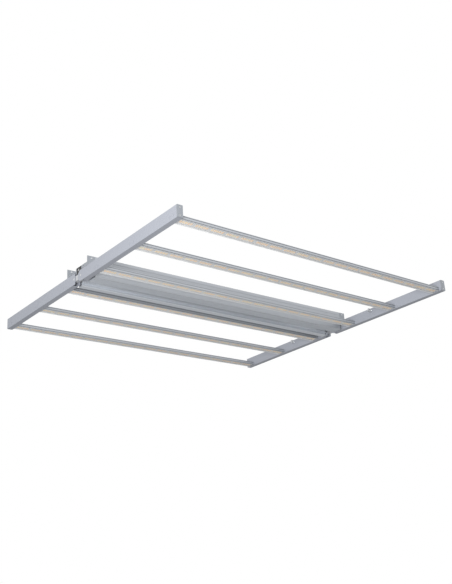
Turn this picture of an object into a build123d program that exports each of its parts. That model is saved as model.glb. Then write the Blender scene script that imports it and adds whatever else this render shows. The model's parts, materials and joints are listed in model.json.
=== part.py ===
"""Folding six-bar grow light: two hinged halves, each with three lamp bars, a finned cross beam and a driver.

X runs along the lamp bars, Y along the side rails and Z up. The origin is at the middle of the light,
on the plane that the flat rails rest on. The light leaves downwards. All lengths are in millimetres.
"""

import os

from build123d import *

# ---- Driving dimensions --------------------------------------------------------------------------

OVERALL_WIDTH = 1150.0
OVERALL_LENGTH = 1072.0
RAIL_WIDTH = 20.0
RAIL_HEIGHT = 38.4
RAIL_WALL = 2.0
RAIL_EDGE_RADIUS = 1.2
CAP_THICKNESS = 3.0

BAR_PITCH = 203.7
BAR_WIDTH = 32.0
BAR_HEIGHT = 14.0
BARS_PER_HALF = 3

NEAR_PIVOT_Y = -3.0
FAR_PIVOT_Y = 40.0
FAR_RAIL_START = 34.5
LINK_RADIUS = 9.2
PIN_RADIUS = 4.0
PIN_FIXED_CLEARANCE = 0.02
PIN_RUNNING_CLEARANCE = 0.05

BEAM_LENGTH = 1094.0
NEAR_BEAM_FRONT = -48.0
NEAR_BEAM_BACK = -8.0
NEAR_WALL_TOP = 70.0
FAR_BOX_BACK = 57.0
FAR_WALL_BACK = 85.0
FAR_WALL_TOP = 68.0
WALL_THICKNESS = 3.0
SHELF_THICKNESS = 2.6
STOP_TOP = 50.0
STOP_FACE_Y = 21.6

DRIVER_LENGTH = 760.0
DRIVER_WIDTH = 32.0
DRIVER_HEIGHT = 28.0
DRIVER_SKIN = 2.0

EYE_Y = {"near": -205.0, "far": 228.0}
EYE_Z = 29.0

# ---- Sizes that follow from them -----------------------------------------------------------------

HALF_WIDTH = OVERALL_WIDTH / 2
HALF_LENGTH = OVERALL_LENGTH / 2
RAIL_X = HALF_WIDTH - RAIL_WIDTH / 2
RAIL_INNER_X = HALF_WIDTH - RAIL_WIDTH
SLOT_WIDTH = RAIL_WIDTH - 2 * RAIL_WALL
PIVOT_Z = RAIL_HEIGHT / 2
BEAM_END_X = BEAM_LENGTH / 2
TRAY_FLOOR_Z = RAIL_HEIGHT + SHELF_THICKNESS
SIDES = {"left": -1, "right": 1}
BAR_Y = {
    "near": [-BAR_PITCH * (index + 0.5) for index in reversed(range(BARS_PER_HALF))],
    "far": [BAR_PITCH * (index + 0.5) for index in range(BARS_PER_HALF)],
}
OUTWARD = {"near": -1, "far": 1}
PIVOT_Y = {"near": NEAR_PIVOT_Y, "far": FAR_PIVOT_Y}


# ---- Helpers -------------------------------------------------------------------------------------


def block(x_span, y_span, z_span):
    """A rectangular block between three pairs of limits."""
    size = [abs(span[1] - span[0]) for span in (x_span, y_span, z_span)]
    middle = [(span[0] + span[1]) / 2 for span in (x_span, y_span, z_span)]
    return Pos(*middle) * Box(*size)


def rod_x(radius, x_span, y, z):
    """A round bar along X."""
    length = abs(x_span[1] - x_span[0])
    return Pos((x_span[0] + x_span[1]) / 2, y, z) * Rot(0, 90, 0) * Cylinder(radius, length)


def rod_y(radius, y_span, x, z):
    """A round bar along Y."""
    length = abs(y_span[1] - y_span[0])
    return Pos(x, (y_span[0] + y_span[1]) / 2, z) * Rot(90, 0, 0) * Cylinder(radius, length)


def rod_z(radius, z_span, x, y):
    """A round bar along Z."""
    length = abs(z_span[1] - z_span[0])
    return Pos(x, y, (z_span[0] + z_span[1]) / 2) * Cylinder(radius, length)


def side_span(side, inner, outer):
    """An X span on one side of the light, from its distances to the middle."""
    sign = SIDES[side]
    return (sign * inner, sign * outer)


def around(middle, reach):
    """The span that reaches as far to either side of a middle."""
    return (middle - reach, middle + reach)


def save(node, *solids):
    """Writes one node, made of one or more separate solids."""
    shape = solids[0] if len(solids) == 1 else Compound(children=list(solids))
    export_step(shape, f"parts/{node}.step")


# ---- Side rails ----------------------------------------------------------------------------------

BAR_SCREW_OFFSET = 9.0
BAR_SCREW_Z = 11.0
BAR_SCREW_RADIUS = 2.0
BAR_SCREW_HEAD_RADIUS = 3.6
BAR_SCREW_HEAD_DEPTH = 1.6
BAR_SCREW_SOCKET_RADIUS = 1.3
BAR_SCREW_SOCKET_DEPTH = 1.0
BAR_SCREW_REACH = 16.0
CAP_SCREW_OFFSET = 12.5
CAP_SCREW_RADIUS = 1.6
CAP_SCREW_HEAD_RADIUS = 2.6
CAP_SCREW_HEAD = 1.2
CAP_SCREW_LENGTH = 10.0
CROSS_RECESS_REACH = 1.5
CROSS_RECESS_HALF_WIDTH = 0.3
CROSS_RECESS_DEPTH = 0.7
CAP_PLUG_DEPTH = 8.0
PLUG_CLEARANCE = 0.1
SCREW_CLEARANCE = 0.1
HOLE_CLEARANCE = 0.2
CUT_THROUGH = 1.0
LINK_SWING_ROOM = 2.0
MOUTH_LENGTH = 30.0
ROOF_MOUTH_SETBACK = 8.0


def rail_outside(half, x_span):
    """The rail before it is hollowed: the near one ends in a half round at its pivot, the far one square."""
    if half == "near":
        tube = block(x_span, (-HALF_LENGTH + CAP_THICKNESS, NEAR_PIVOT_Y), (0, RAIL_HEIGHT))
        tube = tube + rod_x(PIVOT_Z, x_span, NEAR_PIVOT_Y, PIVOT_Z)
    else:
        tube = block(x_span, (FAR_RAIL_START, HALF_LENGTH - CAP_THICKNESS), (0, RAIL_HEIGHT))
    return fillet(tube.edges().filter_by(Axis.Y), RAIL_EDGE_RADIUS)


def rail(half, side):
    """A rectangular tube, opened below its hinge end so that the link can swing down."""
    middle = SIDES[side] * RAIL_X
    away = OUTWARD[half]
    pivot_y = PIVOT_Y[half]
    slot_x = around(middle, SLOT_WIDTH / 2)
    roof_z = RAIL_HEIGHT - RAIL_WALL
    swing_end = pivot_y + away * (LINK_RADIUS + LINK_SWING_ROOM)
    mouth_end = pivot_y - away * MOUTH_LENGTH
    body = rail_outside(half, around(middle, RAIL_WIDTH / 2))
    body = body - block(slot_x, (away * HALF_LENGTH, swing_end), (RAIL_WALL, roof_z))
    body = body - block(slot_x, (swing_end, mouth_end), (-CUT_THROUGH, roof_z))
    if half == "near":
        roof_mouth = (NEAR_PIVOT_Y + ROOF_MOUTH_SETBACK, mouth_end)
        body = body - block(slot_x, roof_mouth, (PIVOT_Z, RAIL_HEIGHT + CUT_THROUGH))
    body = body - rod_x(PIN_RADIUS + PIN_FIXED_CLEARANCE, around(middle, RAIL_WIDTH), pivot_y, PIVOT_Z)
    for hole in rail_screw_holes(half, side) + rail_lead_holes(half, side):
        body = body - hole
    return body


def rail_screw_holes(half, side):
    """The holes for the bars' screws, the hanging eye and the end block's screws."""
    middle = SIDES[side] * RAIL_X
    holes = []
    for bar_y in BAR_Y[half]:
        for offset in (-BAR_SCREW_OFFSET, BAR_SCREW_OFFSET):
            place = (bar_y + offset, BAR_SCREW_Z)
            sink = side_span(side, HALF_WIDTH - BAR_SCREW_HEAD_DEPTH, HALF_WIDTH + CUT_THROUGH)
            holes.append(rod_x(BAR_SCREW_RADIUS + HOLE_CLEARANCE, around(middle, RAIL_WIDTH), *place))
            holes.append(rod_x(BAR_SCREW_HEAD_RADIUS + HOLE_CLEARANCE, sink, *place))
    inner_wall = side_span(side, RAIL_INNER_X - CUT_THROUGH, RAIL_INNER_X + RAIL_WALL + CUT_THROUGH)
    holes.append(rod_x(EYE_SHANK_RADIUS + SCREW_CLEARANCE, inner_wall, EYE_Y[half], EYE_Z))
    roof = (RAIL_HEIGHT - RAIL_WALL - CUT_THROUGH, RAIL_HEIGHT + CUT_THROUGH)
    for screw_y in FOOT_SCREW_Y[half]:
        holes.append(rod_z(FOOT_SCREW_RADIUS + SCREW_CLEARANCE, roof, middle, screw_y))
    return holes


def rail_lead_holes(half, side):
    """In a left rail, the hole that the driver's lead comes down through and those of its branches."""
    if side == "right":
        return []
    roof = (RAIL_HEIGHT - RAIL_WALL - CUT_THROUGH, RAIL_HEIGHT + CUT_THROUGH)
    inner_wall = side_span(side, RAIL_INNER_X - CUT_THROUGH, RAIL_INNER_X + RAIL_WALL + CUT_THROUGH)
    branches = [rod_x(BRANCH_RADIUS + HOLE_CLEARANCE, inner_wall, bar_y, BRANCH_Z) for bar_y in BAR_Y[half]]
    return [rod_z(LEAD_HOLE_RADIUS, roof, -LEAD_X, DRIVER_Y[half]), *branches]


def rail_caps(half):
    """The end plugs of a half's two rails: a plate flush with the tube and a plug inside it."""
    away = OUTWARD[half]
    outer = away * HALF_LENGTH
    inner = outer - away * CAP_THICKNESS
    deep = inner - away * CAP_PLUG_DEPTH
    plug_z = (RAIL_WALL + PLUG_CLEARANCE, RAIL_HEIGHT - RAIL_WALL - PLUG_CLEARANCE)
    caps = []
    for sign in SIDES.values():
        middle = sign * RAIL_X
        plate = block(around(middle, RAIL_WIDTH / 2), (inner, outer), (0, RAIL_HEIGHT))
        cap = fillet(plate.edges().filter_by(Axis.Y), RAIL_EDGE_RADIUS)
        cap = cap + block(around(middle, SLOT_WIDTH / 2 - PLUG_CLEARANCE), (deep, inner), plug_z)
        seat = (outer - away * CAP_SCREW_HEAD, outer + away * CUT_THROUGH)
        for z in (PIVOT_Z - CAP_SCREW_OFFSET, PIVOT_Z + CAP_SCREW_OFFSET):
            cap = cap - rod_y(CAP_SCREW_RADIUS, (deep - away * CUT_THROUGH, outer), middle, z)
            cap = cap - rod_y(CAP_SCREW_HEAD_RADIUS + HOLE_CLEARANCE, seat, middle, z)
        caps.append(cap)
    return caps


def cap_screw(away, x, z):
    """A cross-head screw that lies flush in a rail's end plate."""
    outer = away * HALF_LENGTH
    under_head = outer - away * CAP_SCREW_HEAD
    recess = (outer - away * CROSS_RECESS_DEPTH, outer + away * CUT_THROUGH)
    long_side, short_side = CROSS_RECESS_REACH, CROSS_RECESS_HALF_WIDTH
    screw = rod_y(CAP_SCREW_HEAD_RADIUS, (under_head, outer), x, z)
    screw = screw + rod_y(CAP_SCREW_RADIUS, (outer - away * CAP_SCREW_LENGTH, under_head), x, z)
    screw = screw - block(around(x, long_side), recess, around(z, short_side))
    return screw - block(around(x, short_side), recess, around(z, long_side))


def cap_screws(half):
    """Two screws in each of a half's rail end plugs."""
    heights = (PIVOT_Z - CAP_SCREW_OFFSET, PIVOT_Z + CAP_SCREW_OFFSET)
    return [cap_screw(OUTWARD[half], sign * RAIL_X, z) for sign in SIDES.values() for z in heights]


# ---- Lamp bars -----------------------------------------------------------------------------------

BAR_END_X = RAIL_INNER_X
BAR_SIDE_WALL = 2.0
WEB_BOTTOM = 5.4
WEB_TOP = 7.6
FIN_THICKNESS = 1.2
FIN_OFFSETS = (-4.2, 0.0, 4.2)
PORT_WIDTH = 7.0
SIDE_GROOVES_Z = ((2.6, 4.0), (10.4, 11.8))
SIDE_GROOVE_DEPTH = 0.8
COVER_GROOVE_Z = (2.0, 3.4)
COVER_GROOVE_DEPTH = 0.9
BOARD_WIDTH = 25.0
BOARD_THICKNESS = 1.6
BOARDS_PER_BAR = 4
BOARD_GAP = 1.0
CHIP_LENGTH = 5.7
CHIP_WIDTH = 3.0
CHIP_HEIGHT = 0.7
CHIP_ROW_OFFSET = 3.0
CHIP_PITCH = 9.0
CHIPS_PER_GROUP = 5
GROUPS_PER_BOARD = 5
COVER_EDGE_Z = 0.5
COVER_PLATE_TOP = 1.4
COVER_LEG_THICKNESS = 1.0
COVER_GAP = 0.1


def bar_profile(bar_y):
    """The bar's aluminium extrusion: two side walls, a web, cooling fins and two screw ports."""
    half = BAR_WIDTH / 2
    inner = half - BAR_SIDE_WALL
    span = (-BAR_END_X, BAR_END_X)
    body = block(span, around(bar_y, half), (COVER_PLATE_TOP + COVER_GAP, BAR_HEIGHT))
    body = body - block(span, around(bar_y, inner), (0, WEB_BOTTOM))
    body = body - block(span, around(bar_y, inner), (WEB_TOP, BAR_HEIGHT + CUT_THROUGH))
    for offset in FIN_OFFSETS:
        body = body + block(span, around(bar_y + offset, FIN_THICKNESS / 2), (WEB_TOP, BAR_HEIGHT))
    for offset in (-BAR_SCREW_OFFSET, BAR_SCREW_OFFSET):
        body = body + block(span, around(bar_y + offset, PORT_WIDTH / 2), (WEB_TOP, BAR_HEIGHT))
        body = body - rod_x(BAR_SCREW_RADIUS, span, bar_y + offset, BAR_SCREW_Z)
    for sign in (-1, 1):
        outside = (bar_y + sign * (half - SIDE_GROOVE_DEPTH), bar_y + sign * (half + CUT_THROUGH))
        for heights in SIDE_GROOVES_Z:
            body = body - block(span, outside, heights)
        inside = (bar_y + sign * (inner - CUT_THROUGH), bar_y + sign * (inner + COVER_GROOVE_DEPTH))
        body = body - block(span, inside, COVER_GROOVE_Z)
    return body


def board_spans():
    """The X limits of the boards that lie end to end in a bar."""
    pitch = 2 * BAR_END_X / BOARDS_PER_BAR
    starts = [-BAR_END_X + index * pitch for index in range(BOARDS_PER_BAR)]
    return [(start + BOARD_GAP, start + pitch - BOARD_GAP) for start in starts]


def lamp_boards(bar_y):
    """The circuit boards that carry the light-emitting diodes, face down under the web."""
    width = around(bar_y, BOARD_WIDTH / 2)
    return [block(span, width, (WEB_BOTTOM - BOARD_THICKNESS, WEB_BOTTOM)) for span in board_spans()]


def lamp_chips(bar_y):
    """Two rows of light-emitting diodes on every board, in groups with a gap between them."""
    middle_z = WEB_BOTTOM - BOARD_THICKNESS - CHIP_HEIGHT / 2
    chips = []
    for span in board_spans():
        group_pitch = (span[1] - span[0]) / GROUPS_PER_BOARD
        for group in range(GROUPS_PER_BOARD):
            group_x = span[0] + (group + 0.5) * group_pitch
            for index in range(CHIPS_PER_GROUP):
                chip_x = group_x + (index - (CHIPS_PER_GROUP - 1) / 2) * CHIP_PITCH
                for row in (-CHIP_ROW_OFFSET, CHIP_ROW_OFFSET):
                    chip = Box(CHIP_LENGTH, CHIP_WIDTH, CHIP_HEIGHT)
                    chips.append(Pos(chip_x, bar_y + row, middle_z) * chip)
    return chips


def bar_cover(bar_y):
    """The clear cover: a shallow crown under the whole bar, with two legs that hook into the side walls."""
    half = BAR_WIDTH / 2
    wall = half - BAR_SIDE_WALL
    outer = wall - COVER_GAP
    inner = outer - COVER_LEG_THICKNESS
    hook = wall + COVER_GROOVE_DEPTH - COVER_GAP
    hook_z = (COVER_GROOVE_Z[0] + COVER_GAP, COVER_GROOVE_Z[1] - COVER_GAP)
    right = [
        (half, COVER_EDGE_Z),
        (half, COVER_PLATE_TOP),
        (outer, COVER_PLATE_TOP),
        (outer, hook_z[0]),
        (hook, hook_z[0]),
        (hook, hook_z[1]),
        (inner, hook_z[1]),
        (inner, COVER_PLATE_TOP),
    ]
    outline = [(bar_y + y, z) for y, z in right] + [(bar_y - y, z) for y, z in reversed(right)]
    crown = ThreePointArc((bar_y + half, COVER_EDGE_Z), (bar_y, 0.0), (bar_y - half, COVER_EDGE_Z))
    section = make_face([crown, Polyline(*outline)])
    return extrude(Plane.YZ.offset(-BAR_END_X) * section, amount=2 * BAR_END_X)


def bar_screw(side, y):
    """A flush socket screw that passes through a rail into a bar's screw port."""
    under_head = HALF_WIDTH - BAR_SCREW_HEAD_DEPTH
    head = side_span(side, under_head, HALF_WIDTH)
    shank = side_span(side, RAIL_INNER_X - BAR_SCREW_REACH, under_head)
    socket = side_span(side, HALF_WIDTH - BAR_SCREW_SOCKET_DEPTH, HALF_WIDTH + CUT_THROUGH)
    screw = rod_x(BAR_SCREW_HEAD_RADIUS, head, y, BAR_SCREW_Z)
    screw = screw + rod_x(BAR_SCREW_RADIUS, shank, y, BAR_SCREW_Z)
    return screw - rod_x(BAR_SCREW_SOCKET_RADIUS, socket, y, BAR_SCREW_Z)


def bar_screws(half):
    """Two screws at each end of each of a half's bars."""
    offsets = (-BAR_SCREW_OFFSET, BAR_SCREW_OFFSET)
    return [bar_screw(side, bar_y + offset) for side in SIDES for bar_y in BAR_Y[half] for offset in offsets]


# ---- Cross beams ---------------------------------------------------------------------------------

RIB_PITCH = 3.2
RIB_GROOVE = 1.4
RIB_DEPTH = 1.2
BEAM_WALL = 2.6
EDGE_RADIUS = 2.5
NEAR_LIP_TOP = 49.0
FRONT_GROOVES_Z = (4.5, 9.0, 13.5, 18.0)
WALL_GROOVE_Z = 57.5
FRONT_GROOVE_DEPTH = 0.9
FRONT_WALL_EXTRA = 1.0
FAR_NOSE_TOP = 16.0
FAR_NOSE_SETBACK = 2.0
FAR_CHANNEL_Z = (3.0, 11.0)
FAR_CHANNEL_DEPTH = 5.0
FAR_HOLLOW_TOP = 34.0


def near_beam():
    """The near half's cross beam: a box, ribbed below and grooved in front, whose top is a tray's floor."""
    span = (-BEAM_END_X, BEAM_END_X)
    body = block(span, (NEAR_BEAM_FRONT, NEAR_BEAM_BACK), (0, TRAY_FLOOR_Z))
    body = fillet(body.edges().filter_by(Axis.X).group_by(Axis.Z)[0], EDGE_RADIUS)
    hollow_y = (NEAR_BEAM_FRONT + BEAM_WALL + FRONT_WALL_EXTRA, NEAR_BEAM_BACK - BEAM_WALL)
    body = body - block(span, hollow_y, (BEAM_WALL + RIB_DEPTH, RAIL_HEIGHT))
    groove_y = NEAR_BEAM_FRONT + 2 * EDGE_RADIUS
    while groove_y < NEAR_BEAM_BACK - EDGE_RADIUS - RIB_GROOVE:
        body = body - block(span, (groove_y, groove_y + RIB_GROOVE), (-CUT_THROUGH, RIB_DEPTH))
        groove_y += RIB_PITCH
    for groove_z in FRONT_GROOVES_Z:
        body = body - front_groove(groove_z)
    return body


def front_groove(groove_z):
    """The room of one shallow groove along the near beam's front."""
    span = (-BEAM_END_X, BEAM_END_X)
    skin_y = (NEAR_BEAM_FRONT - CUT_THROUGH, NEAR_BEAM_FRONT + FRONT_GROOVE_DEPTH)
    return block(span, skin_y, (groove_z, groove_z + RIB_GROOVE))


def near_tray_walls():
    """The tall front wall and the low back lip that stand on the near beam and make its tray."""
    span = (-BEAM_END_X, BEAM_END_X)
    wall_y = (NEAR_BEAM_FRONT, NEAR_BEAM_FRONT + WALL_THICKNESS)
    lip_y = (NEAR_BEAM_BACK - WALL_THICKNESS, NEAR_BEAM_BACK)
    wall = block(span, wall_y, (TRAY_FLOOR_Z, NEAR_WALL_TOP)) - front_groove(WALL_GROOVE_Z)
    return [wall, block(span, lip_y, (TRAY_FLOOR_Z, NEAR_LIP_TOP))]


def far_beam():
    """The far half's cross beam: a box with two rounded ridges and a shelf that is a tray's floor."""
    span = (-BEAM_END_X, BEAM_END_X)
    front = FAR_RAIL_START
    channel_back = front + FAR_CHANNEL_DEPTH
    body = block(span, (front, FAR_BOX_BACK), (0, RAIL_HEIGHT))
    body = fillet(body.edges().filter_by(Axis.X).group_by(Axis.Z)[0], EDGE_RADIUS)
    body = body - block(span, (front - CUT_THROUGH, channel_back), FAR_CHANNEL_Z)
    body = body - block(span, (front - CUT_THROUGH, front + FAR_NOSE_SETBACK), (FAR_NOSE_TOP, RAIL_HEIGHT))
    hollow_y = (channel_back + BEAM_WALL, FAR_BOX_BACK - BEAM_WALL)
    body = body - block(span, hollow_y, (BEAM_WALL, FAR_HOLLOW_TOP))
    return body + block(span, (front, FAR_WALL_BACK), (RAIL_HEIGHT, TRAY_FLOOR_Z))


def far_tray_wall():
    """The tall back wall that stands on the far beam's shelf."""
    wall_y = (FAR_WALL_BACK - WALL_THICKNESS, FAR_WALL_BACK)
    return block((-BEAM_END_X, BEAM_END_X), wall_y, (TRAY_FLOOR_Z, FAR_WALL_TOP))


# ---- End blocks and stops over the rails ---------------------------------------------------------

FOOT_SCREW_RADIUS = 2.5
FOOT_SCREW_HEAD_RADIUS = 4.5
FOOT_SCREW_HEAD = 2.6
FOOT_SCREW_SOCKET_RADIUS = 1.8
FOOT_SCREW_SOCKET_FLOOR = 1.0
FOOT_SCREW_REACH = 7.0
FOOT_SCREW_SINK = 5.0
FOOT_SCREW_HEAD_ROOM = 0.3
FOOT_SCREW_Y = {"near": (-38.0, -16.0), "far": (46.0, 76.0)}
FOOT_THICKNESS = 3.0
WALL_SCREW_X = 561.0
WALL_SCREW_Z = 62.0
WALL_SCREW_RADIUS = 1.6
WALL_SCREW_HEAD_RADIUS = 2.8
WALL_SCREW_HEAD = 1.4
WALL_SCREW_SOCKET_RADIUS = 1.2
SET_SCREW_Y = -21.0
SET_SCREW_Z = 44.2
SET_SCREW_RADIUS = 2.4
SET_SCREW_OUTER_X = HALF_WIDTH - 2.5
SET_SCREW_LENGTH = 6.0
TONGUE_WIDTH = 10.0
TONGUE_BOTTOM = 30.0
PAD_THICKNESS = 5.0
PLATE_THICKNESS = 4.6
STOP_GAP = 0.4
NOSE_CLEARANCE = 0.3
BUFFER_SCREW_Y = 9.4
BUFFER_SCREW_Z = 41.0
BUFFER_SCREW_RADIUS = 2.0
BUFFER_SCREW_HEAD_RADIUS = 3.4
BUFFER_SCREW_SOCKET_RADIUS = 1.4
BUFFER_SCREW_HEAD = 2.0
BUFFER_SCREW_SOCKET_DEPTH = 1.2


def foot_screw_seat(half):
    """The height that the heads of a half's foot screws sit on."""
    return STOP_TOP - FOOT_SCREW_SINK if half == "near" else RAIL_HEIGHT + FOOT_THICKNESS


def foot_screw_holes(half, side):
    """The holes down through an end block's foot, with counterbores on the near half."""
    x = SIDES[side] * RAIL_X
    top = STOP_TOP + CUT_THROUGH
    holes = []
    for y in FOOT_SCREW_Y[half]:
        holes.append(rod_z(FOOT_SCREW_RADIUS + SCREW_CLEARANCE, (RAIL_HEIGHT - CUT_THROUGH, top), x, y))
        holes.append(rod_z(FOOT_SCREW_HEAD_RADIUS + FOOT_SCREW_HEAD_ROOM, (foot_screw_seat(half), top), x, y))
    if side == "left":
        mouth_x = side_span(side, BEAM_END_X - CUT_THROUGH, LEAD_X)
        down = (RAIL_HEIGHT - CUT_THROUGH, LEAD_TRAY_Z)
        holes.append(rod_z(LEAD_HOLE_RADIUS, down, -LEAD_X, DRIVER_Y[half]))
        holes.append(rod_x(LEAD_HOLE_RADIUS, mouth_x, DRIVER_Y[half], LEAD_TRAY_Z))
    return holes


def nose_room(side):
    """The room round the rail's rounded nose that the stop keeps clear of, over the rail's whole roof."""
    x_span = side_span(side, RAIL_INNER_X - CUT_THROUGH, HALF_WIDTH + CUT_THROUGH)
    roof = block(x_span, (NEAR_BEAM_BACK - CUT_THROUGH, NEAR_PIVOT_Y), (0, RAIL_HEIGHT))
    return rod_x(PIVOT_Z + NOSE_CLEARANCE, x_span, NEAR_PIVOT_Y, PIVOT_Z) + roof


def near_end_block(side):
    """Sits on the near rail, carries the near beam's end and reaches out as the tongue of the stop."""
    span = side_span(side, BEAM_END_X, HALF_WIDTH)
    wall_y = (NEAR_BEAM_FRONT, NEAR_BEAM_FRONT + WALL_THICKNESS)
    body = block(span, (NEAR_BEAM_FRONT, NEAR_BEAM_BACK), (RAIL_HEIGHT, STOP_TOP))
    body = body + block(span, wall_y, (STOP_TOP, NEAR_WALL_TOP))
    tongue_x = side_span(side, RAIL_INNER_X, RAIL_INNER_X + TONGUE_WIDTH)
    tongue = block(tongue_x, (NEAR_BEAM_BACK, STOP_FACE_Y - PAD_THICKNESS), (TONGUE_BOTTOM, STOP_TOP))
    body = body + (tongue - nose_room(side))
    for hole in foot_screw_holes("near", side):
        body = body - hole
    set_screw_hole = side_span(side, SET_SCREW_OUTER_X - SET_SCREW_LENGTH, HALF_WIDTH + CUT_THROUGH)
    body = body - rod_x(SET_SCREW_RADIUS, set_screw_hole, SET_SCREW_Y, SET_SCREW_Z)
    body = body - rod_y(WALL_SCREW_RADIUS, wall_y, SIDES[side] * WALL_SCREW_X, WALL_SCREW_Z)
    through = side_span(side, RAIL_INNER_X - CUT_THROUGH, HALF_WIDTH)
    return body - rod_x(BUFFER_SCREW_RADIUS + SCREW_CLEARANCE, through, BUFFER_SCREW_Y, BUFFER_SCREW_Z)


def far_end_block(side):
    """Sits on the far rail, carries the far beam's end and ends in the upright plate of the stop."""
    span = side_span(side, BEAM_END_X, HALF_WIDTH)
    foot_top = RAIL_HEIGHT + FOOT_THICKNESS
    plate_front = STOP_FACE_Y + STOP_GAP
    wall_y = (FAR_WALL_BACK - WALL_THICKNESS, FAR_WALL_BACK)
    body = block(span, (plate_front, FAR_WALL_BACK), (RAIL_HEIGHT, foot_top))
    body = body + block(span, wall_y, (foot_top, FAR_WALL_TOP))
    plate_x = side_span(side, RAIL_INNER_X, HALF_WIDTH)
    body = body + block(plate_x, (plate_front, plate_front + PLATE_THICKNESS), (TONGUE_BOTTOM, STOP_TOP))
    for hole in foot_screw_holes("far", side):
        body = body - hole
    return body - rod_y(WALL_SCREW_RADIUS, wall_y, SIDES[side] * WALL_SCREW_X, WALL_SCREW_Z)


def foot_screw(half, x, y):
    """A socket cap screw that holds an end block down on its rail."""
    seat = foot_screw_seat(half)
    head = rod_z(FOOT_SCREW_HEAD_RADIUS, (seat, seat + FOOT_SCREW_HEAD), x, y)
    shank = rod_z(FOOT_SCREW_RADIUS, (RAIL_HEIGHT - FOOT_SCREW_REACH, seat), x, y)
    socket = (seat + FOOT_SCREW_SOCKET_FLOOR, seat + FOOT_SCREW_HEAD + CUT_THROUGH)
    return head + shank - rod_z(FOOT_SCREW_SOCKET_RADIUS, socket, x, y)


def wall_screw(front_y, x):
    """A small button screw through the end block's wall, its head in front of the wall."""
    head_y = (front_y - WALL_SCREW_HEAD, front_y)
    screw = rod_y(WALL_SCREW_HEAD_RADIUS, head_y, x, WALL_SCREW_Z)
    screw = screw + rod_y(WALL_SCREW_RADIUS, (front_y, front_y + WALL_THICKNESS), x, WALL_SCREW_Z)
    socket_y = (front_y - WALL_SCREW_HEAD - CUT_THROUGH, front_y - WALL_SCREW_HEAD / 2)
    return screw - rod_y(WALL_SCREW_SOCKET_RADIUS, socket_y, x, WALL_SCREW_Z)


def set_screw(side):
    """The set screw that pins the near beam's end, sunk in the outer face of the near end block."""
    span = side_span(side, SET_SCREW_OUTER_X - SET_SCREW_LENGTH, SET_SCREW_OUTER_X)
    return rod_x(SET_SCREW_RADIUS, span, SET_SCREW_Y, SET_SCREW_Z)


def block_screws(half):
    """All the screws of a half's end blocks, with those of the buffers on the near ones."""
    wall_front = NEAR_BEAM_FRONT if half == "near" else FAR_WALL_BACK - WALL_THICKNESS
    screws = [foot_screw(half, sign * RAIL_X, y) for sign in SIDES.values() for y in FOOT_SCREW_Y[half]]
    screws += [wall_screw(wall_front, sign * WALL_SCREW_X) for sign in SIDES.values()]
    if half == "near":
        screws += [set_screw(side) for side in SIDES]
        screws += [buffer_screw(side) for side in SIDES]
    return screws


def stop_buffer(side):
    """The black rubber buffer that the far half's plate leans on when the light is open flat."""
    cover_x = side_span(side, RAIL_INNER_X + TONGUE_WIDTH, HALF_WIDTH)
    pad_x = side_span(side, RAIL_INNER_X, HALF_WIDTH)
    pad_y = (STOP_FACE_Y - PAD_THICKNESS, STOP_FACE_Y)
    heights = (TONGUE_BOTTOM, STOP_TOP)
    body = block(cover_x, (NEAR_BEAM_BACK, pad_y[0]), heights) + block(pad_x, pad_y, heights)
    body = body - nose_room(side)
    head_x = side_span(side, HALF_WIDTH - BUFFER_SCREW_HEAD, HALF_WIDTH + CUT_THROUGH)
    head_room = rod_x(BUFFER_SCREW_HEAD_RADIUS + SCREW_CLEARANCE, head_x, BUFFER_SCREW_Y, BUFFER_SCREW_Z)
    shank_room = rod_x(BUFFER_SCREW_RADIUS + SCREW_CLEARANCE, pad_x, BUFFER_SCREW_Y, BUFFER_SCREW_Z)
    return body - head_room - shank_room


def buffer_screw(side):
    """The bright socket screw that holds a buffer to its tongue."""
    under_head = HALF_WIDTH - BUFFER_SCREW_HEAD
    head_x = side_span(side, under_head, HALF_WIDTH)
    shank_x = side_span(side, RAIL_INNER_X + CUT_THROUGH, under_head)
    socket_x = side_span(side, HALF_WIDTH - BUFFER_SCREW_SOCKET_DEPTH, HALF_WIDTH + CUT_THROUGH)
    screw = rod_x(BUFFER_SCREW_HEAD_RADIUS, head_x, BUFFER_SCREW_Y, BUFFER_SCREW_Z)
    screw = screw + rod_x(BUFFER_SCREW_RADIUS, shank_x, BUFFER_SCREW_Y, BUFFER_SCREW_Z)
    return screw - rod_x(BUFFER_SCREW_SOCKET_RADIUS, socket_x, BUFFER_SCREW_Y, BUFFER_SCREW_Z)


# ---- Hinges --------------------------------------------------------------------------------------

LINK_SIDE_GAP = 0.4


def hinge_link(side):
    """The link between the two pivots of one side, rounded about both of its pins."""
    span = around(SIDES[side] * RAIL_X, SLOT_WIDTH / 2 - LINK_SIDE_GAP)
    body = block(span, (NEAR_PIVOT_Y, FAR_PIVOT_Y), around(PIVOT_Z, LINK_RADIUS))
    for pivot_y in PIVOT_Y.values():
        body = body + rod_x(LINK_RADIUS, span, pivot_y, PIVOT_Z)
        body = body - rod_x(PIN_RADIUS + PIN_RUNNING_CLEARANCE, span, pivot_y, PIVOT_Z)
    return body


def hinge_pins(half):
    """The flush pins of one half, one in each rail."""
    spans = [side_span(side, RAIL_INNER_X, HALF_WIDTH) for side in SIDES]
    return [rod_x(PIN_RADIUS, span, PIVOT_Y[half], PIVOT_Z) for span in spans]


# ---- Drivers -------------------------------------------------------------------------------------

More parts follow.
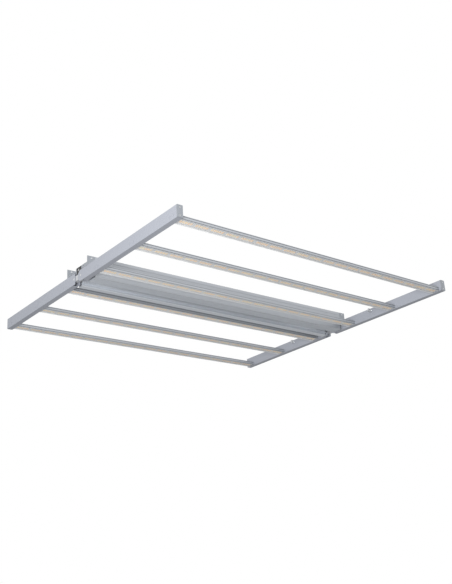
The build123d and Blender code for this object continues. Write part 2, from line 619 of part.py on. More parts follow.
DRIVER_Y = {"near": -28.0, "far": 60.0}
DRIVER_FLOOR = TRAY_FLOOR_Z
DRIVER_TOP = DRIVER_FLOOR + DRIVER_HEIGHT
DRIVER_MIDDLE_Z = DRIVER_FLOOR + DRIVER_HEIGHT / 2
DRIVER_END_X = DRIVER_LENGTH / 2
DRIVER_EDGE_RADIUS = 2.0
DRIVER_CAP = 3.0
BOARD_STAND_OFF = 3.0
BOARD_HALF_WIDTH = 13.0
BOARD_END_GAP = 20.0
COMPONENT_COUNT = 9
COMPONENT_PITCH = 72.0
COMPONENT_REACH = (14.0, 9.0)
COMPONENT_HEIGHTS = (10.0, 14.0)
INLET_RADIUS = 9.0
INLET_LENGTH = 22.0
INLET_FLANGE_RADIUS = 10.5
INLET_FLANGE = 4.0
INLET_CUP_RADIUS = 7.0
INLET_CUP_FLOOR = 8.0
INLET_NECK_RADIUS = 6.8
INLET_PIN_RADIUS = 0.9
INLET_PIN_CIRCLE = 3.3
INLET_PIN_ROOT = 7.0
INLET_PIN_LENGTH = 7.0
INLET_PIN_COUNT = 3
DIAL_RADIUS = 8.0
DIAL_HEIGHT = 7.0
DIAL_LIFT = 0.4
DIAL_STEM_RADIUS = 3.0
DIAL_STEM_LENGTH = 3.4
DIAL_X = 330.0
DIAL_RUNNING_CLEARANCE = 0.05
FLUTE_COUNT = 16
FLUTE_RADIUS = 1.1
FLUTE_OFFSET = 0.5
FLUTE_BASE = 1.0
POINTER_HALF_WIDTH = 0.5
POINTER_DEPTH = 0.6
POINTER_REACH = (1.0, 6.0)


def driver_case(half):
    """The driver's aluminium tube."""
    y = DRIVER_Y[half]
    span = (-DRIVER_END_X, DRIVER_END_X)
    body = block(span, around(y, DRIVER_WIDTH / 2), (DRIVER_FLOOR, DRIVER_TOP))
    body = fillet(body.edges().filter_by(Axis.X), DRIVER_EDGE_RADIUS)
    inside_z = (DRIVER_FLOOR + DRIVER_SKIN, DRIVER_TOP - DRIVER_SKIN)
    body = body - block(span, around(y, DRIVER_WIDTH / 2 - DRIVER_SKIN), inside_z)
    stem_hole = (inside_z[1] - CUT_THROUGH, DRIVER_TOP + CUT_THROUGH)
    return body - rod_z(DIAL_STEM_RADIUS + DIAL_RUNNING_CLEARANCE, stem_hole, DIAL_X, y)


def driver_caps(half):
    """The driver's two end plates: the lead leaves by the left one, and the inlet is in the right one."""
    y = DRIVER_Y[half]
    plate_y = around(y, DRIVER_WIDTH / 2)
    lead_hole = (LEAD_RADIUS + SCREW_CLEARANCE, LEAD_TRAY_Z)
    holes = {"left": lead_hole, "right": (INLET_NECK_RADIUS, DRIVER_MIDDLE_Z)}
    caps = []
    for side, (hole_radius, hole_z) in holes.items():
        span = side_span(side, DRIVER_END_X, DRIVER_END_X + DRIVER_CAP)
        cap = block(span, plate_y, (DRIVER_FLOOR, DRIVER_TOP))
        caps.append(cap - rod_x(hole_radius, span, y, hole_z))
    return caps


def driver_board(half):
    """The circuit board inside the driver, with its transformer, chokes and capacitors as plain blocks."""
    y = DRIVER_Y[half]
    bottom = DRIVER_FLOOR + DRIVER_SKIN + BOARD_STAND_OFF
    top = bottom + BOARD_THICKNESS
    body = block(around(0, DRIVER_END_X - BOARD_END_GAP), around(y, BOARD_HALF_WIDTH), (bottom, top))
    for index in range(COMPONENT_COUNT):
        x = (index - (COMPONENT_COUNT - 1) / 2) * COMPONENT_PITCH
        height = COMPONENT_HEIGHTS[index % 2]
        body = body + block(around(x, COMPONENT_REACH[0]), around(y, COMPONENT_REACH[1]), (top, top + height))
    return body


def power_inlet(half):
    """A round panel inlet with three contact pins in an open cup."""
    y = DRIVER_Y[half]
    z = DRIVER_MIDDLE_Z
    start = DRIVER_END_X + DRIVER_CAP
    end = start + INLET_LENGTH
    body = rod_x(INLET_RADIUS, (start, end), y, z)
    body = body + rod_x(INLET_FLANGE_RADIUS, (start, start + INLET_FLANGE), y, z)
    body = body + rod_x(INLET_NECK_RADIUS, (DRIVER_END_X, start), y, z)
    body = body - rod_x(INLET_CUP_RADIUS, (start + INLET_CUP_FLOOR, end + CUT_THROUGH), y, z)
    pin_span = (start + INLET_PIN_ROOT, start + INLET_PIN_ROOT + INLET_PIN_LENGTH)
    for location in PolarLocations(INLET_PIN_CIRCLE, INLET_PIN_COUNT):
        pin_y, pin_z = location.position.Y, location.position.X
        body = body + rod_x(INLET_PIN_RADIUS, pin_span, y + pin_y, z + pin_z)
    return body


def dimmer_dial(half):
    """The brightness dial on top of the driver, with a grip of flutes and a pointer line."""
    y = DRIVER_Y[half]
    base = DRIVER_TOP + DIAL_LIFT
    top = base + DIAL_HEIGHT
    body = rod_z(DIAL_RADIUS, (base, top), DIAL_X, y)
    body = body + rod_z(DIAL_STEM_RADIUS, (base - DIAL_STEM_LENGTH, base), DIAL_X, y)
    flute_z = (base + FLUTE_BASE, top + CUT_THROUGH)
    for location in PolarLocations(DIAL_RADIUS + FLUTE_OFFSET, FLUTE_COUNT):
        flute = location.position
        body = body - rod_z(FLUTE_RADIUS, flute_z, DIAL_X + flute.X, y + flute.Y)
    pointer_y = (y + POINTER_REACH[0], y + POINTER_REACH[1])
    pointer_z = (top - POINTER_DEPTH, top + CUT_THROUGH)
    return body - block(around(DIAL_X, POINTER_HALF_WIDTH), pointer_y, pointer_z)


# ---- Hanging eyes --------------------------------------------------------------------------------

EYE_OUTER_RADIUS = 7.8
EYE_HOLE_RADIUS = 4.2
EYE_THICKNESS = 3.6
EYE_EDGE_RADIUS = 1.2
EYE_STAND_OFF = 3.0
EYE_SHANK_RADIUS = 2.5
EYE_SHANK_OVERLAP = 1.5
EYE_SHANK_REACH = 9.0
EYE_FLANGE_RADIUS = 4.5
EYE_FLANGE = 1.6
EYE_NUT_RADIUS = 4.2
EYE_NUT = 4.0


def hanging_eye(half, side):
    """An eye screw in a rail's inner wall, with its nut inside the tube."""
    y = EYE_Y[half]
    ring_x = RAIL_INNER_X - EYE_STAND_OFF - EYE_OUTER_RADIUS
    ring_middle = SIDES[side] * ring_x
    ring = rod_y(EYE_OUTER_RADIUS, around(y, EYE_THICKNESS / 2), ring_middle, EYE_Z)
    eye = fillet(ring.edges(), EYE_EDGE_RADIUS)
    shank_x = side_span(side, ring_x + EYE_OUTER_RADIUS - EYE_SHANK_OVERLAP, RAIL_INNER_X + EYE_SHANK_REACH)
    nut_start = RAIL_INNER_X + RAIL_WALL
    eye = eye + rod_x(EYE_SHANK_RADIUS, shank_x, y, EYE_Z)
    eye = eye + rod_x(EYE_FLANGE_RADIUS, side_span(side, RAIL_INNER_X - EYE_FLANGE, RAIL_INNER_X), y, EYE_Z)
    eye = eye + rod_x(EYE_NUT_RADIUS, side_span(side, nut_start, nut_start + EYE_NUT), y, EYE_Z)
    return eye - rod_y(EYE_HOLE_RADIUS, around(y, EYE_THICKNESS), ring_middle, EYE_Z)


# ---- Wiring --------------------------------------------------------------------------------------

LEAD_RADIUS = 2.0
LEAD_HOLE_RADIUS = 3.2
LEAD_X = 567.0
LEAD_Z = 26.0
LEAD_TRAY_Z = 43.6
LEAD_BEND = 5.0
BRANCH_RADIUS = 1.6
BRANCH_Z = 18.5
TAP_WIDTH = 7.0
TAP_LENGTH = 14.0
TAP_BOTTOM = 14.5
TAP_TOP = 29.5
PLUG_SPAN = (532.0, 550.0)
PLUG_WIDTH = 10.0
PLUG_HEIGHT = 6.5


def wiring(half):
    """The driver's lead inside the left rail, with a tap, a branch and a plug for each bar."""
    away = OUTWARD[half]
    driver_y = DRIVER_Y[half]
    taps = sorted(BAR_Y[half], key=abs)
    first_tap = taps[0] - away * TAP_LENGTH / 2
    route = FilletPolyline(
        (-DRIVER_END_X, driver_y, LEAD_TRAY_Z),
        (-LEAD_X, driver_y, LEAD_TRAY_Z),
        (-LEAD_X, driver_y, LEAD_Z),
        (-LEAD_X, first_tap, LEAD_Z),
        radius=LEAD_BEND,
    )
    solids = [sweep(Plane(origin=route @ 0, z_dir=route % 0) * Circle(LEAD_RADIUS), path=route)]
    for tap_y, next_y in zip(taps, taps[1:]):
        gap = (tap_y + away * TAP_LENGTH / 2, next_y - away * TAP_LENGTH / 2)
        solids.append(rod_y(LEAD_RADIUS, gap, -LEAD_X, LEAD_Z))
    for tap_y in taps:
        tap_x = around(-LEAD_X, TAP_WIDTH / 2)
        plug_z = (BAR_HEIGHT, BAR_HEIGHT + PLUG_HEIGHT)
        solids.append(block(tap_x, around(tap_y, TAP_LENGTH / 2), (TAP_BOTTOM, TAP_TOP)))
        solids.append(rod_x(BRANCH_RADIUS, (tap_x[1], -PLUG_SPAN[1]), tap_y, BRANCH_Z))
        solids.append(block(side_span("left", *PLUG_SPAN), around(tap_y, PLUG_WIDTH / 2), plug_z))
    return solids


# ---- Whole light ---------------------------------------------------------------------------------


def main():
    os.makedirs("parts", exist_ok=True)
    bar_number = 0
    for half in ("near", "far"):
        for side in SIDES:
            save(f"{half}_{side}_rail", rail(half, side))
        save(f"{half}_rail_caps", *rail_caps(half))
        save(f"{half}_cap_screws", *cap_screws(half))
        save(f"{half}_bar_screws", *bar_screws(half))
        save(f"{half}_block_screws", *block_screws(half))
        save(f"{half}_hinge_pins", *hinge_pins(half))
        save(f"{half}_driver_case", driver_case(half))
        save(f"{half}_driver_caps", *driver_caps(half))
        save(f"{half}_driver_board", driver_board(half))
        save(f"{half}_power_inlet", power_inlet(half))
        save(f"{half}_dimmer_dial", dimmer_dial(half))
        save(f"{half}_hanging_eyes", *[hanging_eye(half, side) for side in SIDES])
        save(f"{half}_wiring", *wiring(half))
        for bar_y in BAR_Y[half]:
            bar_number += 1
            save(f"bar_{bar_number}_profile", bar_profile(bar_y))
            save(f"bar_{bar_number}_boards", *lamp_boards(bar_y))
            save(f"bar_{bar_number}_chips", *lamp_chips(bar_y))
            save(f"bar_{bar_number}_cover", bar_cover(bar_y))
    save("near_cross_beam", near_beam())
    save("near_tray_walls", *near_tray_walls())
    save("far_cross_beam", far_beam())
    save("far_tray_wall", far_tray_wall())
    save("near_end_blocks", *[near_end_block(side) for side in SIDES])
    save("far_end_blocks", *[far_end_block(side) for side in SIDES])
    save("hinge_links", *[hinge_link(side) for side in SIDES])
    save("stop_buffers", *[stop_buffer(side) for side in SIDES])


main()
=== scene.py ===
"""The folding grow light's looks: camera, studio, materials and diodes, built round the CAD frame.

Lengths are in metres in the frame's own axes: X along the lamp bars, Y along the side rails, Z up.
"""

import json
import math
import random

import bpy
import numpy as np
from mathutils import Matrix, Vector

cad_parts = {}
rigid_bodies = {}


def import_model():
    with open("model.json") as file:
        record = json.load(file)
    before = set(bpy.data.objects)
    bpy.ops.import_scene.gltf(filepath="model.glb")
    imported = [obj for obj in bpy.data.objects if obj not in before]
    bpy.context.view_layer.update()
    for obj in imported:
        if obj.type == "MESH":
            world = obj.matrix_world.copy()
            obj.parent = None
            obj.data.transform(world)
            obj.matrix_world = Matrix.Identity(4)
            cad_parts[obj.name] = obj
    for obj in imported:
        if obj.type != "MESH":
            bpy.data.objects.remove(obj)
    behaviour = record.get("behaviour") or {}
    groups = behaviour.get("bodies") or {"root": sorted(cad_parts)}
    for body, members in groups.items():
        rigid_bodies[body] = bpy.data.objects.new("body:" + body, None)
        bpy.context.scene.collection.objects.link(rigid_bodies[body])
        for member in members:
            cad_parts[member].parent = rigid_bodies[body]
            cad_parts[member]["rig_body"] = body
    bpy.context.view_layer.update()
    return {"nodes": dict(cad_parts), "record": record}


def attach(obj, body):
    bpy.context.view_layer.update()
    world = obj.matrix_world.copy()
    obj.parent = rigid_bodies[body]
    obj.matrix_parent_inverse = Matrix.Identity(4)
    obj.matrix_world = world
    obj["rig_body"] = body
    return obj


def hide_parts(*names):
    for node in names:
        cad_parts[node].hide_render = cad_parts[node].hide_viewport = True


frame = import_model()
record = frame["record"]

# ---- Camera --------------------------------------------------------------------------------------

CAMERA_PLACE = Vector((-1.8126, -2.2261, -1.0269))
CAMERA_AZIMUTH = math.radians(-39.319)
CAMERA_ELEVATION = math.radians(-20.548)
CAMERA_ROLL = math.radians(-3.726)
CAMERA_LENS = 68.054
CAMERA_SHIFT = (0.0034, 0.0117)
SENSOR_WIDTH = 36.0
CLIP_RANGE = (0.05, 60.0)


def camera_axes():
    """The camera's right, up and back directions."""
    level = math.cos(CAMERA_ELEVATION)
    back_x = math.sin(CAMERA_AZIMUTH) * level
    back_y = -math.cos(CAMERA_AZIMUTH) * level
    back = Vector((back_x, back_y, math.sin(CAMERA_ELEVATION)))
    side = Vector((0.0, 0.0, 1.0)).cross(back).normalized()
    top = back.cross(side)
    right = math.cos(CAMERA_ROLL) * side + math.sin(CAMERA_ROLL) * top
    up = -math.sin(CAMERA_ROLL) * side + math.cos(CAMERA_ROLL) * top
    return right, up, back


def make_camera():
    """A camera below and in front of the light, looking up at it."""
    data = bpy.data.cameras.new("camera")
    data.sensor_fit = "HORIZONTAL"
    data.sensor_width = SENSOR_WIDTH
    data.lens = CAMERA_LENS
    data.shift_x, data.shift_y = CAMERA_SHIFT
    data.clip_start, data.clip_end = CLIP_RANGE
    camera = bpy.data.objects.new("camera", data)
    bpy.context.scene.collection.objects.link(camera)
    turn = Matrix(camera_axes()).transposed().to_4x4()
    camera.matrix_world = Matrix.Translation(CAMERA_PLACE) @ turn
    bpy.context.scene.camera = camera


# ---- Studio --------------------------------------------------------------------------------------

FLOOR_Z = -6.5
FLOOR_SIZE = 150.0
FLOOR_GREY = 0.46
FLOOR_CUTS = 8
WORLD_STRENGTH = 1.0
KEY_PLACE = Vector((-2.1, -1.7, -0.85))
KEY_SIZE = 1.0
KEY_POWER = 85


def make_studio():
    """A grey floor far below, an even white surround and one soft key from the left front."""
    world = bpy.data.worlds.new("studio")
    bpy.context.scene.world = world
    world.use_nodes = True
    background = world.node_tree.nodes["Background"]
    background.inputs["Color"].default_value = (1.0, 1.0, 1.0, 1.0)
    background.inputs["Strength"].default_value = WORLD_STRENGTH
    bpy.context.scene.view_settings.view_transform = "Standard"
    bpy.ops.mesh.primitive_grid_add(x_subdivisions=FLOOR_CUTS, y_subdivisions=FLOOR_CUTS, size=FLOOR_SIZE)
    floor = bpy.context.object
    floor.name = "floor"
    floor.location.z = FLOOR_Z
    floor.data.materials.append(floor_material())
    key_data = bpy.data.lights.new("key", "AREA")
    key_data.size = KEY_SIZE
    key_data.energy = KEY_POWER
    key = bpy.data.objects.new("key", key_data)
    bpy.context.scene.collection.objects.link(key)
    key.location = KEY_PLACE
    key.rotation_euler = KEY_PLACE.to_track_quat("Z", "Y").to_euler()


# ---- Material helpers ----------------------------------------------------------------------------


class Finish:
    """A node material with object coordinates in metres, built up by small steps."""

    def __init__(self, name, metallic=0.0, roughness=0.5, ior=1.5):
        """A plain shader, ready for colour, roughness and bump."""
        self.material = bpy.data.materials.new(name)
        self.material.use_nodes = True
        self.tree = self.material.node_tree
        self.shader = self.tree.nodes["Principled BSDF"]
        self.shader.inputs["Metallic"].default_value = metallic
        self.shader.inputs["Roughness"].default_value = roughness
        self.shader.inputs["IOR"].default_value = ior
        self.coords = self.tree.nodes.new("ShaderNodeTexCoord").outputs["Object"]

    def node(self, kind, **settings):
        """A new node with some of its settings given."""
        made = self.tree.nodes.new(kind)
        for key, value in settings.items():
            setattr(made, key, value)
        return made

    def link(self, output, target):
        """Joins an output socket to an input socket."""
        self.tree.links.new(output, target)

    def stretched(self, scale):
        """The object coordinates scaled by a different amount along each axis."""
        mapping = self.node("ShaderNodeMapping")
        mapping.inputs["Scale"].default_value = scale
        self.link(self.coords, mapping.inputs["Vector"])
        return mapping.outputs["Vector"]

    def noise(self, scale, detail=3.0, stretch=(1.0, 1.0, 1.0)):
        """Noise from 0 to 1, with features about 1/scale metres long."""
        made = self.node("ShaderNodeTexNoise")
        made.inputs["Scale"].default_value = scale
        made.inputs["Detail"].default_value = detail
        self.link(self.stretched(stretch), made.inputs["Vector"])
        return made.outputs["Fac"]

    def ramp(self, value, low, high, from_low=0.3, from_high=0.7):
        """A value mapped to the range low to high."""
        made = self.node("ShaderNodeMapRange")
        made.inputs["From Min"].default_value = from_low
        made.inputs["From Max"].default_value = from_high
        made.inputs["To Min"].default_value = low
        made.inputs["To Max"].default_value = high
        self.link(value, made.inputs["Value"])
        return made.outputs["Result"]

    def blend(self, factor, first, second):
        """A mix of two colours or colour sockets by a factor socket."""
        made = self.node("ShaderNodeMix", data_type="RGBA")
        self.link(factor, made.inputs["Factor"])
        for source, socket in ((first, made.inputs["A"]), (second, made.inputs["B"])):
            if isinstance(source, tuple):
                socket.default_value = (*source, 1.0)
            else:
                self.link(source, socket)
        return made.outputs["Result"]

    def colour(self, source):
        """Sets the base colour from a socket."""
        self.link(source, self.shader.inputs["Base Color"])

    def roughness(self, value):
        """Sets the roughness from a socket."""
        self.link(value, self.shader.inputs["Roughness"])

    def bump(self, height, depth):
        """A bump of the given depth in metres."""
        made = self.node("ShaderNodeBump")
        made.inputs["Strength"].default_value = 1.0
        made.inputs["Distance"].default_value = depth
        self.link(height, made.inputs["Height"])
        self.link(made.outputs["Normal"], self.shader.inputs["Normal"])


def shade(colour, factor):
    """A colour made lighter or darker by a factor."""
    return tuple(min(1.0, channel * factor) for channel in colour)


def mottled(finish, colour, spread, scale, stretch=(1.0, 1.0, 1.0)):
    """A colour that drifts gently lighter and darker over the surface."""
    drift = finish.ramp(finish.noise(scale, 4.0, stretch), 0.0, 1.0)
    return finish.blend(drift, shade(colour, 1.0 - spread), shade(colour, 1.0 + spread))


# ---- Where painted light, painted shade and frosting change along the object, in metres --------------

# The cross beams' undersides get painted light: a lighter copy of the bar aluminium there.
BEAM_MIDDLE_Y = 0.0200
BEAM_REACH_Y = 0.0655
BEAM_UNDERSIDE_Z = (0.014, 0.030)
BEAM_PAINTED_LIGHT_GAIN = 1.4

BAR_PITCH = 0.2037
# The bars' side grooves get painted shade: the bar aluminium darkened there.
GROOVES_Z = (0.0033, 0.0111)
GROOVE_REACH_Z = 0.0010
GROOVE_FACE_Y = 0.0156
GROOVE_FACE_REACH = 0.0006
GROOVE_SHADE = 0.55

# The cover's near lip is painted darker as painted shade, and its far lip lighter as a painted highlight.
LIP_BLEND_Y = 0.010
NEAR_LIP_PAINTED_SHADE = (0.50, 0.52, 0.54)
FAR_LIP_PAINTED_HIGHLIGHT = (0.88, 0.89, 0.90)
CLEAR_ALPHA = 0.08
FROSTED_ALPHA = 0.6
FROST_START = 0.0122
FROST_FULL = 0.0132

# ---- Board tracks and drawn lines ------------------------------------------------------------------

TRACK_LENGTH = 0.0345
TRACK_PITCH = 0.0062
TRACK_GAP = 0.0004
TRACK_SOFTNESS = 0.3
MASK_WHITE = (0.62, 0.62, 0.615)
TRACK_WHITE = (0.55, 0.55, 0.545)

DRAWN_LINES = {"x": (0.03, 1.0, 1.0), "y": (1.0, 0.03, 1.0), "z": (1.0, 1.0, 0.03)}
DRAWN_METALLIC = 0.6
DRAWN_SPREAD = 0.05
DRAWN_SCALE = 60.0
DRAWN_ROUGHNESS_SPREAD = 0.07
COVER_LINES = (0.02, 1.0, 1.0)
MOULDED_ROUGHNESS_SPREAD = 0.08

# The unlit diodes' faint glow is painted light.
PHOSPHOR_PAINTED_GLOW = 0.04
PHOSPHOR_GRAIN = (0.98, 0.80, 0.45)

# ---- Materials, one for each slot ------------------------------------------------------------------


def floor_material():
    """Matt grey that drifts slightly."""
    finish = Finish("floor", roughness=0.9)
    finish.colour(mottled(finish, (FLOOR_GREY,) * 3, 0.02, 1.5))
    return finish.material


def rail_paint():
    """Satin blue-grey coating with a fine orange-peel surface."""
    finish = Finish("rail_paint", metallic=0.15, roughness=0.55)
    finish.colour(mottled(finish, (0.285, 0.3, 0.338), 0.025, 3.0))
    finish.roughness(finish.ramp(finish.noise(40.0), 0.50, 0.62))
    finish.bump(finish.noise(900.0, 2.0), 0.00004)
    return finish.material


def drawn_aluminium(name, colour, roughness, along="x", beam_light_and_groove_shade=False):
    """Bare aluminium with fine lines along the direction that it was drawn in.

    With the last argument set, the cross beams' undersides get painted light and the bars' grooves painted
    shade.
    """
    finish = Finish(name, metallic=DRAWN_METALLIC, roughness=roughness)
    lines = DRAWN_LINES[along]
    base = mottled(finish, colour, DRAWN_SPREAD, DRAWN_SCALE, lines)
    if beam_light_and_groove_shade:
        # Painted light on the cross beams' undersides.
        painted_light_tone = shade(colour, BEAM_PAINTED_LIGHT_GAIN)
        painted_light_mottle = mottled(finish, painted_light_tone, DRAWN_SPREAD, DRAWN_SCALE, lines)
        base = finish.blend(beam_painted_light_mask(finish), base, painted_light_mottle)
        # Painted shade in the bars' grooves.
        base = finish.blend(groove_painted_shade_mask(finish), base, shade(colour, GROOVE_SHADE))
    finish.colour(base)
    smooth = roughness - DRAWN_ROUGHNESS_SPREAD
    rough = roughness + DRAWN_ROUGHNESS_SPREAD
    finish.roughness(finish.ramp(finish.noise(700.0, 3.0, lines), smooth, rough))
    finish.bump(finish.noise(1500.0, 2.0, lines), 0.00003)
    return finish.material


def near_value(finish, value, middle, reach):
    """1 where a value lies within a reach of a middle, and 0 elsewhere."""
    compare = finish.node("ShaderNodeMath", operation="COMPARE")
    compare.inputs[1].default_value = middle
    compare.inputs[2].default_value = reach
    finish.link(value, compare.inputs[0])
    return compare.outputs["Value"]


def combined(finish, operation, first, second):
    """Two values joined by one arithmetic step."""
    made = finish.node("ShaderNodeMath", operation=operation)
    finish.link(first, made.inputs[0])
    finish.link(second, made.inputs[1])
    return made.outputs["Value"]


def groove_painted_shade_mask(finish):
    """1 in the bars' side grooves, which get painted shade, and 0 elsewhere."""
    split = finish.node("ShaderNodeSeparateXYZ")
    finish.link(finish.coords, split.inputs["Vector"])
    side = near_value(finish, distance_to_bar(finish), GROOVE_FACE_Y, GROOVE_FACE_REACH)
    lower, upper = (near_value(finish, split.outputs["Z"], z, GROOVE_REACH_Z) for z in GROOVES_Z)
    either = combined(finish, "MAXIMUM", lower, upper)
    return combined(finish, "MULTIPLY", side, either)


def beam_painted_light_mask(finish):
    """1 on the cross beams' undersides, which get painted light, and 0 elsewhere."""
    split = finish.node("ShaderNodeSeparateXYZ")
    finish.link(finish.coords, split.inputs["Vector"])
    inside = near_value(finish, split.outputs["Y"], BEAM_MIDDLE_Y, BEAM_REACH_Y)
    low = finish.ramp(split.outputs["Z"], 1.0, 0.0, *BEAM_UNDERSIDE_Z)
    return combined(finish, "MULTIPLY", inside, low)


def zinc_steel():
    """Zinc-plated screws and eyes."""
    finish = Finish("steel", metallic=1.0, roughness=0.3)
    finish.colour(mottled(finish, (0.62, 0.63, 0.64), 0.08, 150.0))
    finish.roughness(finish.ramp(finish.noise(300.0), 0.22, 0.4))
    finish.bump(finish.noise(2500.0, 2.0), 0.00002)
    return finish.material


def board_white():
    """White solder mask over copper tracks, whose edges show as faint raised lines."""
    finish = Finish("board_white", roughness=0.35)
    tracks = finish.node("ShaderNodeTexBrick")
    tracks.inputs["Scale"].default_value = 1.0
    tracks.inputs["Brick Width"].default_value = TRACK_LENGTH
    tracks.inputs["Row Height"].default_value = TRACK_PITCH
    tracks.inputs["Mortar Size"].default_value = TRACK_GAP
    tracks.inputs["Mortar Smooth"].default_value = TRACK_SOFTNESS
    finish.link(finish.coords, tracks.inputs["Vector"])
    white = mottled(finish, MASK_WHITE, 0.03, 25.0)
    finish.colour(finish.blend(tracks.outputs["Fac"], white, TRACK_WHITE))
    finish.bump(tracks.outputs["Fac"], 0.00003)
    return finish.material


def led_phosphor():
    """Phosphor whose tone is stored with each package, with a slight grain and a faint glow that is painted
    light, as the diodes are unlit.
    """
    finish = Finish("led_phosphor", roughness=0.5)
    tone = finish.node("ShaderNodeAttribute", attribute_name="tone").outputs["Color"]
    grain = finish.ramp(finish.noise(4000.0, 2.0), 0.0, 0.2)
    grained = finish.blend(grain, tone, PHOSPHOR_GRAIN)
    finish.colour(grained)
    # Painted light: the unlit diodes glow faintly.
    finish.link(grained, finish.shader.inputs["Emission Color"])
    finish.shader.inputs["Emission Strength"].default_value = PHOSPHOR_PAINTED_GLOW
    finish.bump(finish.noise(6000.0, 2.0), 0.00002)
    return finish.material


def clear_cover():
    """Clear extruded plastic with faint draw lines, frosted along both edges, with painted shade on the
    near one and a painted highlight on the far one.
    """
    finish = Finish("clear_cover", roughness=0.2, ior=1.49)
    # Painted shade on the near half and a painted highlight on the far half.
    far_highlight_side = finish.ramp(bar_offset(finish), 0.0, 1.0, -LIP_BLEND_Y, LIP_BLEND_Y)
    near_lip_painted_shade = mottled(finish, NEAR_LIP_PAINTED_SHADE, 0.015, 8.0)
    finish.colour(finish.blend(far_highlight_side, near_lip_painted_shade, FAR_LIP_PAINTED_HIGHLIGHT))
    finish.roughness(finish.ramp(finish.noise(900.0, 2.0, COVER_LINES), 0.15, 0.3))
    distance = distance_to_bar(finish)
    opacity = finish.ramp(distance, CLEAR_ALPHA, FROSTED_ALPHA, FROST_START, FROST_FULL)
    finish.link(opacity, finish.shader.inputs["Alpha"])
    return finish.material


def bar_offset(finish):
    """The distance along Y from the nearest bar's middle, in metres, below 0 towards the near end."""
    split = finish.node("ShaderNodeSeparateXYZ")
    finish.link(finish.coords, split.inputs["Vector"])
    half_pitch = BAR_PITCH / 2
    wrap = finish.node("ShaderNodeMath", operation="WRAP")
    wrap.inputs[1].default_value = half_pitch
    wrap.inputs[2].default_value = -half_pitch
    shift = finish.node("ShaderNodeMath", operation="ADD")
    shift.inputs[1].default_value = half_pitch
    finish.link(split.outputs["Y"], shift.inputs[0])
    finish.link(shift.outputs["Value"], wrap.inputs[0])
    return wrap.outputs["Value"]


def distance_to_bar(finish):
    """The distance along Y to the middle of the nearest bar, in metres."""
    distance = finish.node("ShaderNodeMath", operation="ABSOLUTE")
    finish.link(bar_offset(finish), distance.inputs[0])
    return distance.outputs["Value"]


def driver_case():
    """Satin dark coating over a drawn aluminium case."""
    finish = Finish("driver_case", metallic=0.4, roughness=0.45)
    finish.colour(mottled(finish, (0.10, 0.105, 0.115), 0.08, 12.0))
    finish.roughness(finish.ramp(finish.noise(90.0), 0.38, 0.52))
    finish.bump(finish.noise(1200.0, 2.0), 0.00004)
    return finish.material


def circuit_board():
    """Green solder mask with a slight unevenness."""
    finish = Finish("circuit_board", roughness=0.4)
    finish.colour(mottled(finish, (0.03, 0.16, 0.06), 0.15, 200.0))
    finish.bump(finish.noise(800.0, 2.0), 0.00005)
    return finish.material


def dark_polymer(name, colour, roughness, grain):
    """Moulded black plastic or rubber with a fine grain."""
    finish = Finish(name, roughness=roughness)
    finish.colour(mottled(finish, colour, 0.15, 80.0))
    smooth = roughness - MOULDED_ROUGHNESS_SPREAD
    rough = roughness + MOULDED_ROUGHNESS_SPREAD
    finish.roughness(finish.ramp(finish.noise(200.0), smooth, rough))
    finish.bump(finish.noise(grain, 3.0), 0.00005)
    return finish.material


def make_materials():
    """The finish of each of the record's material slots."""
    return {
        "rail_paint": rail_paint(),
        "cap_aluminium": drawn_aluminium("cap_aluminium", (0.3, 0.32, 0.35), 0.42, "z"),
        "bar_aluminium": drawn_aluminium("bar_aluminium", (0.41, 0.43, 0.46), 0.4, "x", True),
        "link_aluminium": drawn_aluminium("link_aluminium", (0.50, 0.51, 0.53), 0.35, "y"),
        "steel": zinc_steel(),
        "board_white": board_white(),
        "led_phosphor": led_phosphor(),
        "clear_cover": clear_cover(),
        "driver_case": driver_case(),
        "circuit_board": circuit_board(),
        "black_plastic": dark_polymer("black_plastic", (0.03, 0.03, 0.034), 0.45, 1800.0),
        "rubber": dark_polymer("rubber", (0.025, 0.025, 0.026), 0.7, 1200.0),
        "cable": dark_polymer("cable", (0.03, 0.03, 0.033), 0.5, 900.0),
    }


def dress_nodes(materials):
    """Gives every CAD node the material of its slot."""
    for part in record["subparts"]:
        node = frame["nodes"][part["node"]]
        node.data.materials.clear()
        node.data.materials.append(materials[part["material_slot"]])


# ---- Diode packages ------------------------------------------------------------------------------

TONES = ((0.84, 0.40, 0.11), (0.80, 0.50, 0.15), (0.66, 0.60, 0.30))
TONE_WEIGHTS = (6, 3, 1)
CASE_TONE = (0.70, 0.58, 0.42)
BEVEL_RISE = 0.15
BEVEL_SHARE = 0.94
WINDOW_SHARE = 0.88
WINDOW_SLOPE = 0.06
WINDOW_SINK = 0.2
DOME_SHARES = (0.5, 0.2)
DOME_RISE = 0.12
DOME_TOP = 1.5
FIRST_WINDOW_LEVEL = 3
CORNERS = ((-1, -1), (1, -1), (1, 1), (-1, 1))


def paired(values):
    """Sorted distinct edge values taken two by two, as the lower and upper edge of each package."""
    edges = sorted({round(float(v), 6) for v in values})
    return list(zip(edges[::2], edges[1::2]))


def package_rings(low, high):
    """The outline rings of one package from its base to its dome, as (scale, height) pairs."""
    height = high - low
    window = low + WINDOW_SINK * height
    return (
        (1.0, high),
        (1.0, low + BEVEL_RISE * height),
        (BEVEL_SHARE, low),
        (WINDOW_SHARE, low),
        (WINDOW_SHARE - WINDOW_SLOPE, window),
        (DOME_SHARES[0], window - DOME_RISE * height),
        (DOME_SHARES[1], window - DOME_TOP * DOME_RISE * height),
    )


def package_corners(span_x, span_y, rings):
    """The four corners of each ring of one package, ring by ring."""
    centre = ((span_x[0] + span_x[1]) / 2, (span_y[0] + span_y[1]) / 2)
    reach = ((span_x[1] - span_x[0]) / 2, (span_y[1] - span_y[0]) / 2)
    corners = []
    for scale, z in rings:
        for sx, sy in CORNERS:
            x = centre[0] + sx * scale * reach[0]
            y = centre[1] + sy * scale * reach[1]
            corners.append((x, y, z))
    return corners


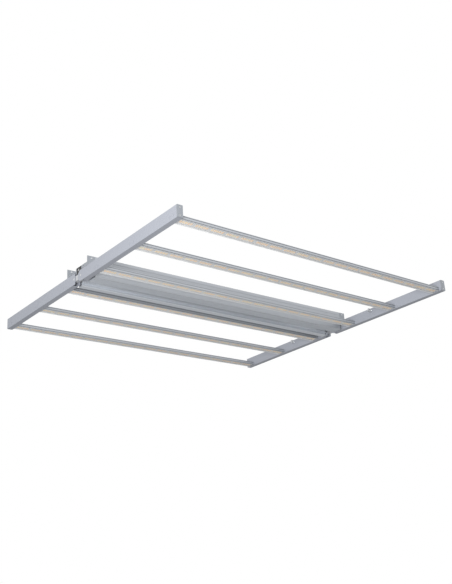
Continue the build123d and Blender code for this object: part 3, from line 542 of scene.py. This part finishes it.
def package_faces(first, levels, window_tone):
    """The faces of one package whose corners begin at a given number, each with its tone."""
    sides = len(CORNERS)
    faces = []
    for level in range(levels - 1):
        tone = window_tone if level >= FIRST_WINDOW_LEVEL else CASE_TONE
        for side in range(sides):
            a = first + level * sides + side
            b = first + level * sides + (side + 1) % sides
            faces.append(((a, a + sides, b + sides, b), tone))
    base = tuple(first + side for side in range(sides))
    faces.append((base, CASE_TONE))
    last = first + (levels - 1) * sides
    top = tuple(last + sides - 1 - side for side in range(sides))
    faces.append((top, window_tone))
    return faces


def make_packages(bar):
    """The diode packages of one bar: a light frame round a slightly domed phosphor window."""
    node = frame["nodes"][f"bar_{bar}_chips"]
    points = np.array([v.co for v in node.data.vertices])
    rings = package_rings(points[:, 2].min(), points[:, 2].max())
    draw = random.Random(bar)
    vertices, faces = [], []
    for span_x in paired(points[:, 0]):
        window_tone = draw.choices(TONES, TONE_WEIGHTS)[0]
        for span_y in paired(points[:, 1]):
            faces += package_faces(len(vertices), len(rings), window_tone)
            vertices += package_corners(span_x, span_y, rings)
    mesh = bpy.data.meshes.new(f"bar_{bar}_leds")
    mesh.from_pydata(vertices, [], [corners for corners, _ in faces])
    layer = mesh.attributes.new("tone", "FLOAT_COLOR", "CORNER")
    for polygon, (_, tone) in zip(mesh.polygons, faces):
        for corner in polygon.loop_indices:
            layer.data[corner].color = (*tone, 1.0)
    return mesh


def add_packages(materials):
    """Replaces each bar's plain chips with detailed packages."""
    bar_numbers = [int(name.split("_")[1]) for name in frame["nodes"] if name.endswith("_chips")]
    for bar in sorted(bar_numbers):
        piece = bpy.data.objects.new(f"bar_{bar}_leds", make_packages(bar))
        bpy.context.scene.collection.objects.link(piece)
        piece.data.materials.append(materials["led_phosphor"])
        body = frame["nodes"][f"bar_{bar}_chips"]["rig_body"]
        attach(piece, body)
        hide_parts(f"bar_{bar}_chips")


# ---- Build ---------------------------------------------------------------------------------------

make_camera()
make_studio()
materials = make_materials()
dress_nodes(materials)
add_packages(materials)
